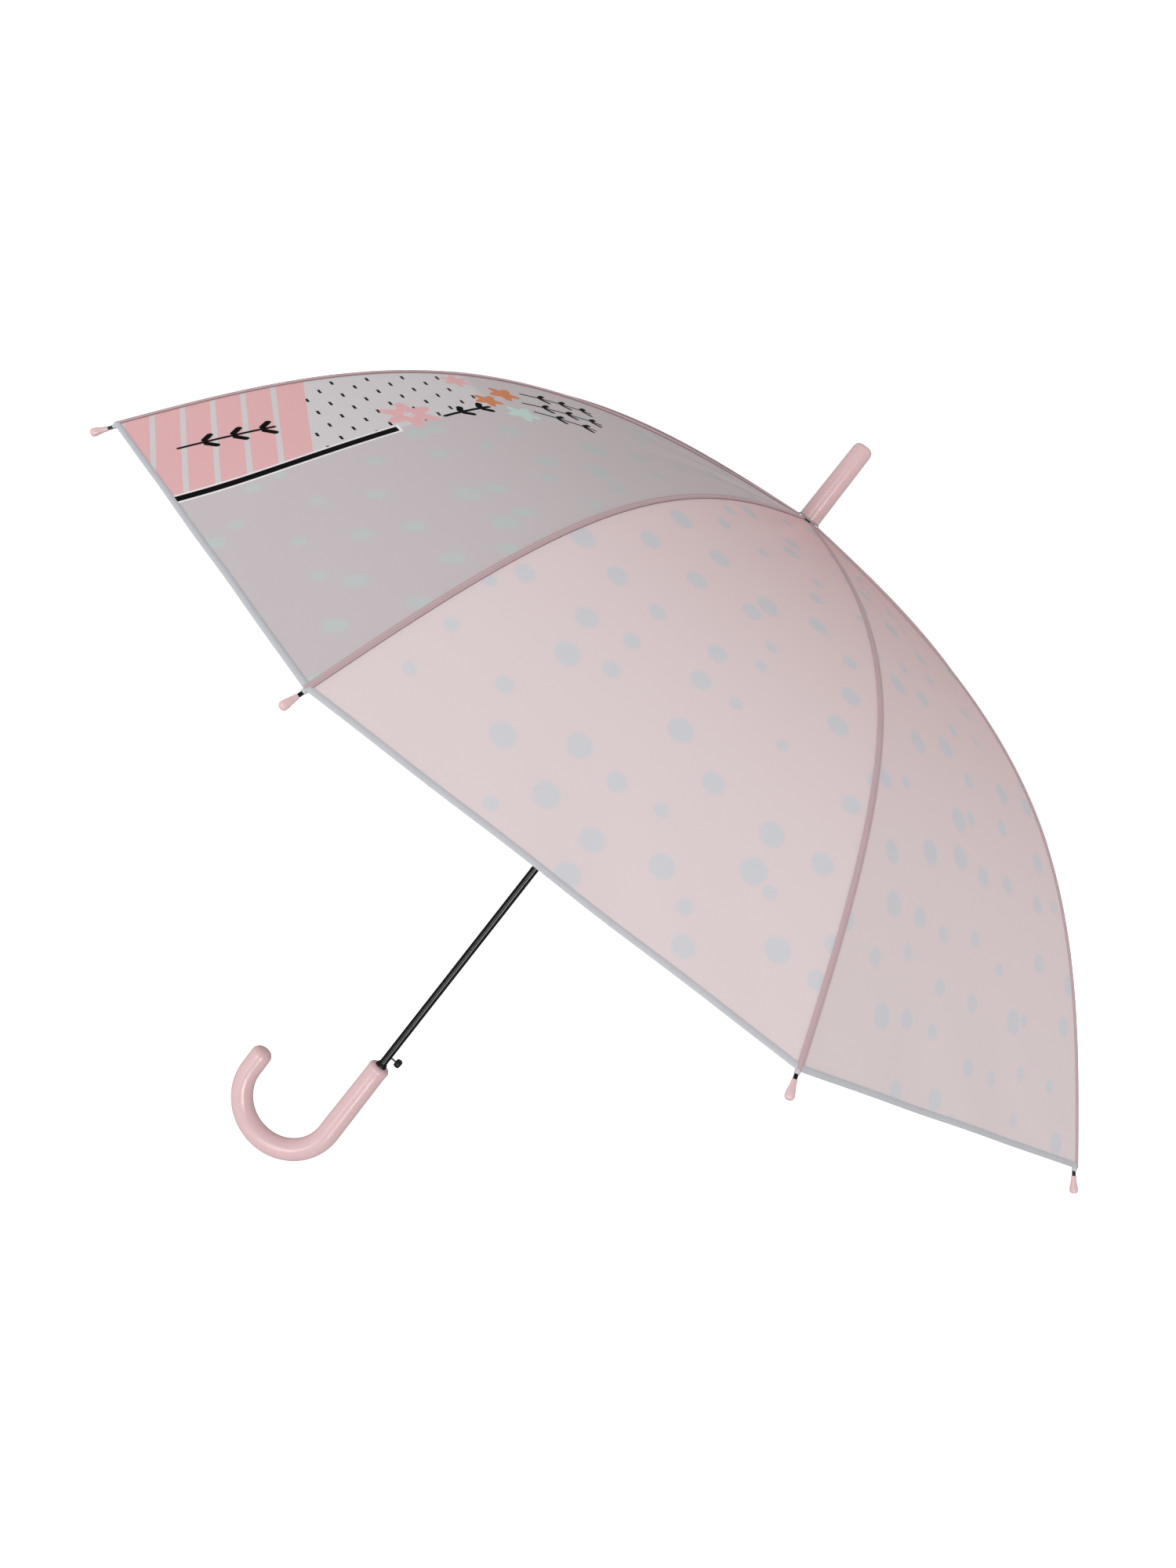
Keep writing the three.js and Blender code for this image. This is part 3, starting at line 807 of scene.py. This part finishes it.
def handle():
    """The crook: a lip at the mouth, a grip that swells, half a turn, and a round end."""
    path = [(Vector((0, 0, MOUTH_Z + z * MM)), r * MM) for z, r in MOUTH_LIP]
    for i in range(1, GRIP_STEPS + 1):
        z = MOUTH_Z - LIP_HEIGHT + (HOOK_CENTRE_Z - MOUTH_Z + LIP_HEIGHT) * i / GRIP_STEPS
        path.append((Vector((0, 0, z)), GRIP_R + (BEND_R - GRIP_R) * i / GRIP_STEPS))
    for i in range(1, HOOK_STEPS + 1):
        a = math.pi * i / HOOK_STEPS
        centre = Vector((-HOOK_R + HOOK_R * math.cos(a), 0, HOOK_CENTRE_Z - HOOK_R * math.sin(a)))
        path.append((centre, BEND_R + (END_R - BEND_R) * (i / HOOK_STEPS) ** 2))
    for i in range(1, RISE_STEPS + 1):
        z = HOOK_CENTRE_Z + HOOK_RISE * i / RISE_STEPS
        path.append((Vector((-2 * HOOK_R, 0, z)), END_R))
    end_z = HOOK_CENTRE_Z + HOOK_RISE
    for i in range(1, END_STEPS + 1):
        a = math.pi / 2 * i / END_STEPS
        z = end_z + END_ROUND * math.sin(a)
        radius = max(END_R - END_ROUND * (1 - math.cos(a)), END_LEAST_R)
        path.append((Vector((-2 * HOOK_R, 0, z)), radius))
    path.append((Vector((-2 * HOOK_R, 0, end_z + END_ROUND + END_CAP)), END_CAP))
    place(sweep("handle_crook", path, GLOSS_PINK, sides=40), "shaft", "pink_gloss", "handle")


def shaft():
    low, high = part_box("shaft_tube")
    profile = [(SHAFT_R, low[2]), (SHAFT_R, high[2])]
    place(lathe("shaft_smooth", profile, BLACK_PAINT), "shaft", "black_paint", "shaft_tube")


FERRULE_R = FERRULE_HIGH[0]
FERRULE_TAPER = 0.7 * MM
FERRULE_OVER = 0.25 * MM  # how far it closes the gap to the washer
WASHER_R = FERRULE_R + 0.7 * MM


def ferrule():
    base, end = FERRULE_LOW[2] - FERRULE_OVER, FERRULE_HIGH[2]
    profile = rounded([
        (SHAFT_R + 0.3 * MM, base, 0),
        (FERRULE_R, base, 0.5 * MM),
        (FERRULE_R - FERRULE_TAPER, end + 0.4 * MM, 5.0 * MM),
        (0.2 * MM, end + 0.6 * MM, 0),
    ], steps=8)
    place(lathe("ferrule_smooth", profile, GLOSS_PINK), "shaft", "pink_gloss", "ferrule")
    low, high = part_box("crown_washer")
    profile = rounded([
        (SHAFT_R, low[2], 0),
        (WASHER_R, low[2], 0.3 * MM),
        (WASHER_R - 0.1 * MM, high[2], 0.4 * MM),
        (SHAFT_R, high[2], 0),
    ])
    place(lathe("crown_ring", profile, GREY), "shaft", "grey_washer", "crown_washer")


def mouth_bush():
    low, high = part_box("handle_bush")
    hole, base = SHAFT_R + 0.1 * MM, low[2] - 0.5 * MM
    profile = rounded([
        (hole, base, 0),
        (4.5 * MM, base, 0),
        (4.3 * MM, low[2] + 0.9 * MM, 0.4 * MM),
        (3.4 * MM, high[2], 0.3 * MM),
        (hole, high[2], 0),
    ])
    place(lathe("mouth_bush", profile, BLACK_PLASTIC), "shaft", "black_plastic", "handle_bush")


def along_x(obj, x, z):
    """Turns a lathe from +Z to +X and puts its base at x, z."""
    obj.data.transform(Matrix.Translation((x, 0, z)) @ Matrix.Rotation(math.pi / 2, 4, "Y"))
    return obj


KNOB_HEIGHT = 4.8 * MM
STEM_R = 0.9 * MM
STEM_IN_KNOB = 0.5 * MM


def button():
    z = (BUTTON_LOW[2] + BUTTON_HIGH[2]) / 2
    radius = (BUTTON_HIGH[2] - BUTTON_LOW[2]) / 2
    foot, base = BUTTON_LOW[0], BUTTON_HIGH[0] - KNOB_HEIGHT
    profile = rounded([
        (STEM_R, 0, 0),
        (radius * 0.82, 0, 0.4 * MM),
        (radius * 1.03, KNOB_HEIGHT * 0.6, 0.9 * MM),
        (radius * 0.75, KNOB_HEIGHT, 0.8 * MM),
        (0.05 * MM, KNOB_HEIGHT, 0),
    ])
    knob = along_x(lathe("button_knob", profile, BLACK_PLASTIC, sides=32), base, z)
    place(knob, "button", "black_plastic", "push_button")
    profile = [(STEM_R, 0), (STEM_R, base - foot + STEM_IN_KNOB)]
    stem = along_x(lathe("button_stem", profile, CHROME, sides=24), foot, z)
    place(stem, "button", "chrome")


# ---- rib ends and tips ------------------------------------------------------------------------
def beside_rib(number, s, out):
    """A point at share s of a rib's length and out metres outside the film."""
    r, z = on_rib(s, out)
    return around(rib_angle(number), r, 0, z)


# mm from the tip's foot and mm of radius
TIP_SHAPE = [
    (0.0, 1.35),
    (0.2, 1.6),
    (2.2, 1.75),
    (4.5, 2.1),
    (6.8, 2.55),
    (8.6, 2.75),
    (9.8, 2.6),
    (10.6, 2.05),
    (11.0, 1.3),
    (11.15, 0.4),
]
# mm past the hem, mm under the film and mm of radius
TAB_SHAPE = [
    (-5.0, 0.9, 1.0),
    (-3.0, 1.1, 1.7),
    (0.4, 1.5, 1.75),
    (1.2, 1.7, 1.5),
]


def tips():
    """The cap on each rib's end, and the tab that ties the film's corner to the rib."""
    foot = 1 + (ROD_PAST_HEM + TIP_GAP) / RIB_LENGTH
    for number in range(1, RIBS + 1):
        across = around(rib_angle(number), 0, 1, 0)
        body = f"rib_end_{number}_body"
        path = []
        for at, radius in TIP_SHAPE:
            spot = beside_rib(number, foot + at * MM / RIB_LENGTH, -ROD_UNDER_FILM)
            path.append((spot, radius * MM))
        tip = sweep(f"tip_cap_{number}", path, GLOSS_PINK, across=across)
        place(tip, body, "pink_gloss", f"tip_{number}")
        path = []
        for past, under, radius in TAB_SHAPE:
            spot = beside_rib(number, 1 + past * MM / RIB_LENGTH, -under * MM)
            path.append((spot, radius * MM))
        tab = sweep(f"corner_tab_{number}", path, HEM, sides=16, across=across)
        place(tab, body, "film_pink")


SLEEVE_HALF = 8 * MM
SLEEVE_R = 1.45 * MM
SLEEVE_STEPS = 12
SLEEVE_BEND = 0.006  # share of the rib to each side of the flex point over which it bends


def joint_sleeves():
    """A black sleeve over the place where the steel rib takes the springy rod."""
    for number in range(1, RIBS + 1):
        across = around(rib_angle(number), 0, 1, 0)
        path = []
        for i in range(SLEEVE_STEPS + 1):
            past = (2 * i / SLEEVE_STEPS - 1) * SLEEVE_HALF
            spot = beside_rib(number, FLEX_AT + past / RIB_LENGTH, -ROD_UNDER_FILM)
            path.append((spot, SLEEVE_R))
        sleeve = sweep(f"rib_sleeve_{number}", path, BLACK_PLASTIC, sides=16, across=across)
        start = beside_rib(number, FLEX_AT - SLEEVE_BEND, 0)
        end = beside_rib(number, FLEX_AT + SLEEVE_BEND, 0)
        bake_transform(sleeve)


# ---- CAD nodes that keep their own shape ------------------------------------------------------
def finish_cad_nodes():
    finishes = {"crown_notch": BLACK_PLASTIC, "runner": BLACK_PLASTIC, "notch_wire": STEEL,
                "runner_wire": STEEL, "opening_spring": STEEL, "spring_carrier": CHROME}
    for number in range(1, RIBS + 1):
        finishes[f"rib_{number}"] = BLACK_PAINT
        finishes[f"rib_end_{number}"] = ROD_BLACK
        finishes[f"stretcher_{number}"] = BLACK_PAINT
    for name, material in finishes.items():
        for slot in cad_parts[name].material_slots:
            slot.material = material


# ---- camera, lights and floor -----------------------------------------------------------------
AIM = Vector((-0.007, -0.0074, 0.300))
DISTANCE = 1.27
AZIMUTH = math.radians(-5.08)
ELEVATION = math.radians(11.98)
ROLL = math.radians(38.0)
LENS = 41.3
SENSOR_WIDTH = 36


def camera():
    """Makes the camera, and returns its right, up and forward directions."""
    forward = Vector((
        math.sin(AZIMUTH) * math.cos(ELEVATION),
        math.cos(AZIMUTH) * math.cos(ELEVATION),
        -math.sin(ELEVATION),
    ))
    level = forward.cross(Vector((0, 0, 1))).normalized()
    upright = level.cross(forward)
    right = level * math.cos(ROLL) + upright * math.sin(ROLL)
    up = upright * math.cos(ROLL) - level * math.sin(ROLL)
    data = bpy.data.cameras.new("camera")
    data.lens = LENS
    data.sensor_width = SENSOR_WIDTH
    obj = bpy.data.objects.new("camera", data)
    turn = Matrix((right, up, -forward)).transposed()
    obj.matrix_world = Matrix.Translation(AIM - forward * DISTANCE) @ turn.to_4x4()
    bpy.context.scene.collection.objects.link(obj)
    bpy.context.scene.camera = obj
    return right, up, forward


WORLD_LEVEL = 0.84
WORLD_RISE = -0.05  # change of the world's light from its horizon to straight up
WORLD_LOST_IN_GLOSS = 0.85  # share of the world's light that reflections leave out
WORLD_SEEN = 1.05
FLOOR_Z = -1.9
FLOOR_HALF = 30
KEY_POWER = 17
SIDE_POWER = 6
FILL_POWER = 9
STRIPS = {"strip_right": (25, 18), "strip_left": (-23, 8)}  # degrees round the shaft, watts
STRIP_SIZE = (0.6, 1.6)


def area_light(name, towards, distance, size, power, highlight=False):
    """A soft light; a highlight only shows in gloss, and the others don't show in it."""
    data = bpy.data.lights.new(name, "AREA")
    data.shape = "RECTANGLE"
    data.size, data.size_y = size
    data.energy = power
    obj = bpy.data.objects.new(name, data)
    obj.location = AIM + towards.normalized() * distance
    back = towards.normalized()
    long_side = (Vector((0, 0, 1)) - back * back[2]).normalized()
    turn = Matrix((long_side.cross(back), long_side, back)).transposed()
    obj.rotation_euler = turn.to_euler()
    obj.visible_diffuse = not highlight
    obj.visible_glossy = highlight
    bpy.context.scene.collection.objects.link(obj)


def studio(right, up, forward):
    """A white world and floor, soft lights, and two tall lights that make the highlights."""
    world = bpy.data.worlds.new("studio")
    bpy.context.scene.world = world
    world.use_nodes = True
    tree = world.node_tree
    direction = tree.nodes.new("ShaderNodeTexCoord")
    parts = tree.nodes.new("ShaderNodeSeparateXYZ")
    tree.links.new(direction.outputs["Generated"], parts.inputs["Vector"])
    height = Value(tree, parts.outputs["Z"])
    seen = tree.nodes.new("ShaderNodeLightPath")
    by_camera = Value(tree, seen.outputs["Is Camera Ray"])
    by_gloss = Value(tree, seen.outputs["Is Glossy Ray"])
    light = (height * WORLD_RISE + WORLD_LEVEL) * (by_gloss * -WORLD_LOST_IN_GLOSS + 1)
    strength = light + by_camera * (light * -1 + WORLD_SEEN)
    background = tree.nodes["Background"]
    background.inputs["Color"].default_value = (1, 1, 1, 1)
    tree.links.new(strength.socket, background.inputs["Strength"])
    signs = ((-1, -1), (1, -1), (1, 1), (-1, 1))
    corners = [(x * FLOOR_HALF, y * FLOOR_HALF, FLOOR_Z) for x, y in signs]
    floor = make("floor", corners, [(0, 1, 2, 3)], plain("floor_white", (0.8, 0.8, 0.8, 1), 0.9))
    shader = floor.data.materials[0].node_tree.nodes["Principled BSDF"]
    shader.inputs["Emission Color"].default_value = (1, 1, 1, 1)
    shader.inputs["Emission Strength"].default_value = 1.0
    floor.visible_diffuse = False
    floor.visible_glossy = False
    area_light("key", -forward * 1.0 - right * 0.55 - up * 0.1, 2.6, (1.2, 1.2), KEY_POWER)
    area_light("fill", -forward * 0.6 + right * 1.0 - up * 0.2, 2.6, (1.0, 1.0), FILL_POWER)
    # an upright surface throws the camera's line of sight on to a light that is this low
    mirrored = Vector((-forward[0], -forward[1], forward[2]))
    for name, (degrees, power) in STRIPS.items():
        towards = Matrix.Rotation(math.radians(degrees), 3, "Z") @ mirrored
        area_light(name, towards, 2.4, STRIP_SIZE, power, highlight=True)
    area_light("side", -forward * 0.5 - right * 1.0 + up * 0.35, 2.0, (0.25, 1.0), SIDE_POWER)
    scene = bpy.context.scene
    scene.view_settings.view_transform = "Standard"


canopy()
handle()
shaft()
ferrule()
mouth_bush()
button()
tips()
joint_sleeves()
finish_cad_nodes()
studio(*camera())
